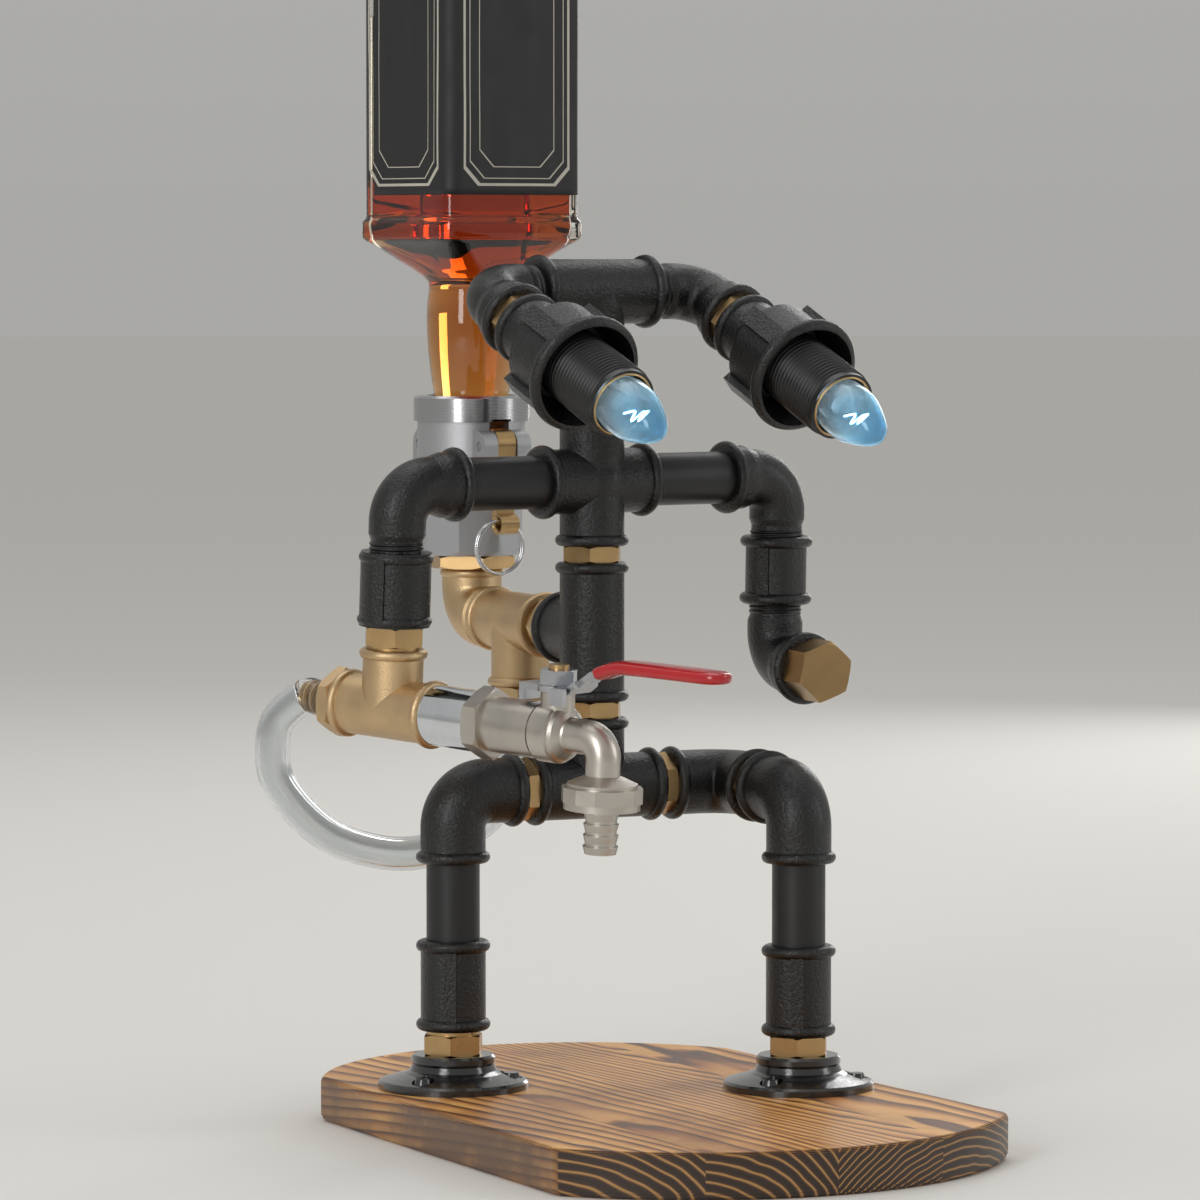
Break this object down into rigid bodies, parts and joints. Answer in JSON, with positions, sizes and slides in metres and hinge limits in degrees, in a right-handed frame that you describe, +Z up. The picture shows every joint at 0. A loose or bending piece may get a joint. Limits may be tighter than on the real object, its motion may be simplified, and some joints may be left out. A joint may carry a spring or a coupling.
{
  "type": "spirits dispenser",
  "caption": "Spirits dispenser shaped as a walking figure of pipe fittings on a wooden board: an upturned bottle in a cam-lock holder feeds a lever tap in its hand; lamps make its eyes.",
  "frame": {"origin": "centre of the board's underside, on the plane that it stands on", "axes": "+Z up; -Y is the front, where the lamps look and the forward foot stands; +X is the side of the empty hand, so the tap is at -X"},
  "size_m": [0.232, 0.3642, 0.5],
  "materials": {
    "charred_pine": "charred, brushed and satin varnished",
    "gloss_iron": "gloss black paint over cast iron",
    "zinc_plate": "bright zinc plate",
    "brass": "satin cast skin, turned ends",
    "black_iron": "black oiled casting",
    "black_bakelite": "moulded satin",
    "bulb_glass": "clear",
    "chrome_plate": "polished",
    "satin_nickel": "blasted satin nickel plate",
    "white_ptfe": "plain",
    "red_dip": "dipped gloss",
    "cast_aluminium": "blasted casting, turned band",
    "black_rubber": "matt",
    "bottle_glass": "clear flint glass",
    "clear_vinyl": "clear flexible tube"
  },
  "bodies": {
    "frame": {"base_board": "charred_pine", "left_floor_flange": "gloss_iron", "right_floor_flange": "gloss_iron", "flange_screws": "zinc_plate", "ankle_nipples": "brass", "leg_sockets": "black_iron", "leg_pipes": "black_iron", "left_hip_elbow": "black_iron", "right_hip_elbow": "black_iron", "stride_elbow": "black_iron", "hip_nipples": "brass", "hip_tee": "black_iron", "spine_nipples": "brass", "spine_tee": "black_iron", "shoulder_cross": "black_iron", "neck_pipe": "black_iron", "head_tee": "black_iron", "left_brow_elbow": "black_iron", "right_brow_elbow": "black_iron", "eye_nipples": "brass", "left_eye_cup": "black_iron", "right_eye_cup": "black_iron", "lamp_holders": "black_bakelite", "shoulder_pipes": "black_iron", "left_shoulder_elbow": "black_iron", "right_shoulder_elbow": "black_iron", "arm_sockets": "black_iron", "hand_elbow": "black_iron", "hand_plug": "brass", "wrist_nipple": "brass", "arm_tee": "brass", "hose_tails": "brass", "tap_extension": "chrome_plate", "tap_inlet": "satin_nickel", "tap_body": "satin_nickel", "tap_seats": "white_ptfe", "spout_nut": "satin_nickel", "spout_tail": "satin_nickel", "back_tee": "brass", "back_elbow": "brass", "bottle_bush": "brass", "bottle_holder": "cast_aluminium", "holder_seal": "black_rubber", "cam_pins": "zinc_plate", "hose": "clear_vinyl"},
    "tap_handle": {"tap_lever": "zinc_plate", "lever_grip": "red_dip", "lever_nut": "zinc_plate", "tap_stem": "brass", "tap_ball": "chrome_plate"},
    "front_cam": {"front_cam_lever": "brass"},
    "rear_cam": {"rear_cam_lever": "brass"},
    "front_ring": {"front_pull_ring": "zinc_plate"},
    "rear_ring": {"rear_pull_ring": "zinc_plate"},
    "bottle": {"bottle": "bottle_glass"},
    "left_lamp": {"left_bulb": "bulb_glass", "left_bulb_base": "zinc_plate"},
    "right_lamp": {"right_bulb": "bulb_glass", "right_bulb_base": "zinc_plate"}
  },
  "joints": [
    {"name": "tap_turn", "type": "hinge", "parent": "frame", "child": "tap_handle", "pos_m": [-0.0566, -0.03536, 0.16585], "axis": [0.0085, -0.0605, 0.9981], "range_deg": [-90, 0]},
    {"name": "front_cam_swing", "type": "hinge", "parent": "frame", "child": "front_cam", "pos_m": [0.00261, 0.14014, 0.27], "axis": [-0.9945, -0.1045, 0], "range_deg": [0, 95]},
    {"name": "rear_cam_swing", "type": "hinge", "parent": "frame", "child": "rear_cam", "pos_m": [-0.00261, 0.18986, 0.27], "axis": [0.9945, 0.1045, 0], "range_deg": [0, 95]},
    {"name": "front_ring_swing", "type": "hinge", "parent": "front_cam", "child": "front_ring", "pos_m": [0.00287, 0.13765, 0.2376], "axis": [-0.9945, -0.1045, 0], "range_deg": [-12, 95]},
    {"name": "rear_ring_swing", "type": "hinge", "parent": "rear_cam", "child": "rear_ring", "pos_m": [-0.00287, 0.19235, 0.2376], "axis": [0.9945, 0.1045, 0], "range_deg": [-12, 95]},
    {"name": "bottle_lift", "type": "slide", "parent": "frame", "child": "bottle", "axis": [0, 0, 1], "range_m": [0, 0.07]},
    {"name": "left_lamp_turn", "type": "hinge", "parent": "frame", "child": "left_lamp", "pos_m": [-0.03812, -0.05528, 0.2926], "axis": [0.1281, -0.9115, -0.3907], "continuous": true},
    {"name": "right_lamp_turn", "type": "hinge", "parent": "frame", "child": "right_lamp", "pos_m": [0.0655, -0.03958, 0.29002], "axis": [0.1266, -0.9011, -0.4147], "continuous": true}
  ]
}
